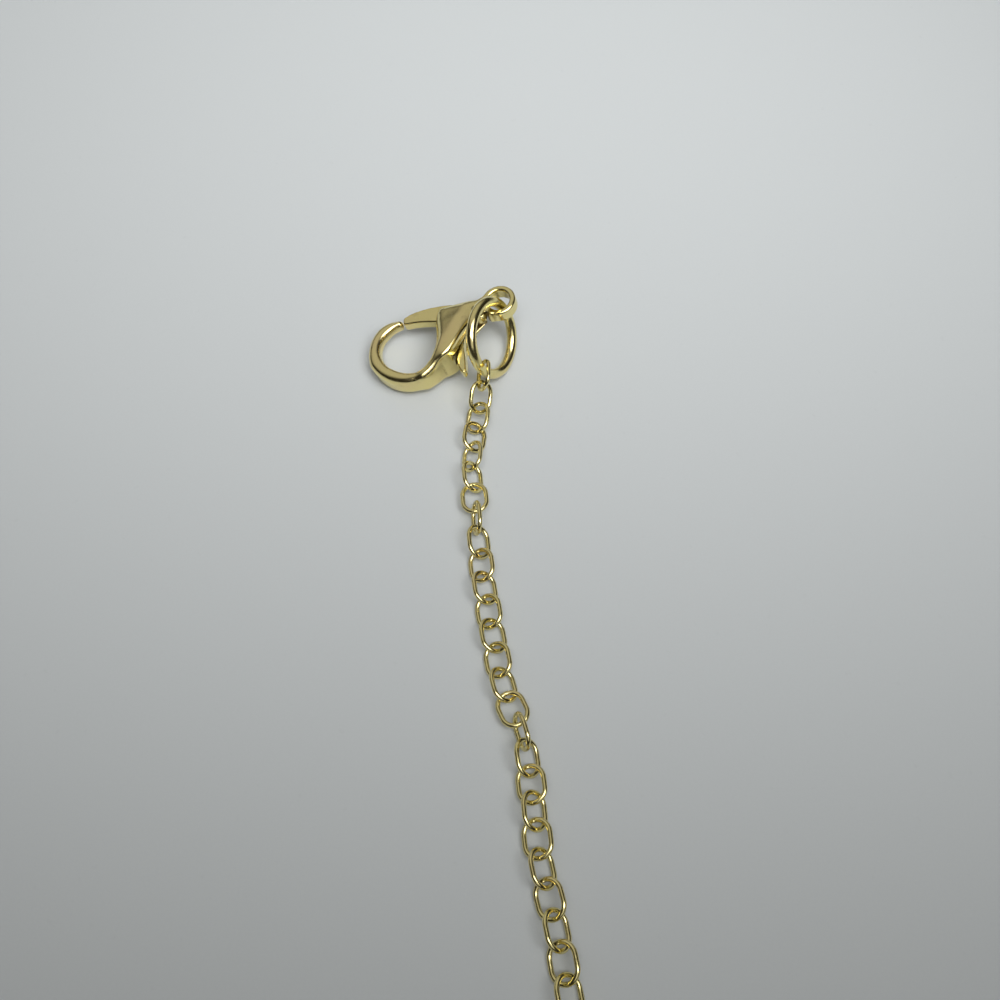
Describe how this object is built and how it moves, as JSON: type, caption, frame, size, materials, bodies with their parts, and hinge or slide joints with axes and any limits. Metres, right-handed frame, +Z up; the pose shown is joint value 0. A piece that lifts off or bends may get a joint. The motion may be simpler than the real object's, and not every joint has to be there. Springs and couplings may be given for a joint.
{
  "type": "chain necklace with lobster clasp",
  "caption": "Fine cable-chain necklace laid open as a loop, with a sprung lobster clasp on a round jump ring at one end and a plain round ring at the other.",
  "frame": {"origin": "on the table surface, under the middle of the laid-out loop's bounding box", "axes": "+Z up from the table, +Y along the loop's length from its low bend towards the clasp, +X from the clasp's side across to the other side of the loop"},
  "size_m": [0.1092, 0.1704, 0.0052],
  "materials": {
    "clasp_gold": "pale gold-plated brass, polished, with light wear",
    "ring_gold": "gold-plated brass with a faint copper tint, polished",
    "chain_gold": "pale gold-plated brass wire, bright",
    "pin_brass": "dull brass, recessed"
  },
  "bodies": {
    "necklace": {"clasp_body": "clasp_gold", "pivot_pin": "pin_brass", "jump_ring": "ring_gold", "chain_near": "chain_gold", "chain_far": "chain_gold", "end_ring": "ring_gold"},
    "lever": {"lever": "clasp_gold"}
  },
  "joints": [
    {"name": "lever_hinge", "type": "hinge", "parent": "necklace", "child": "lever", "pos_m": [-0.0467, 0.08328, 0.00279], "axis": [-0.2277, -0.0867, 0.9699], "range_deg": [0, 5], "stiffness_Nm_per_rad": 0.005, "springref_deg": -17.19}
  ]
}
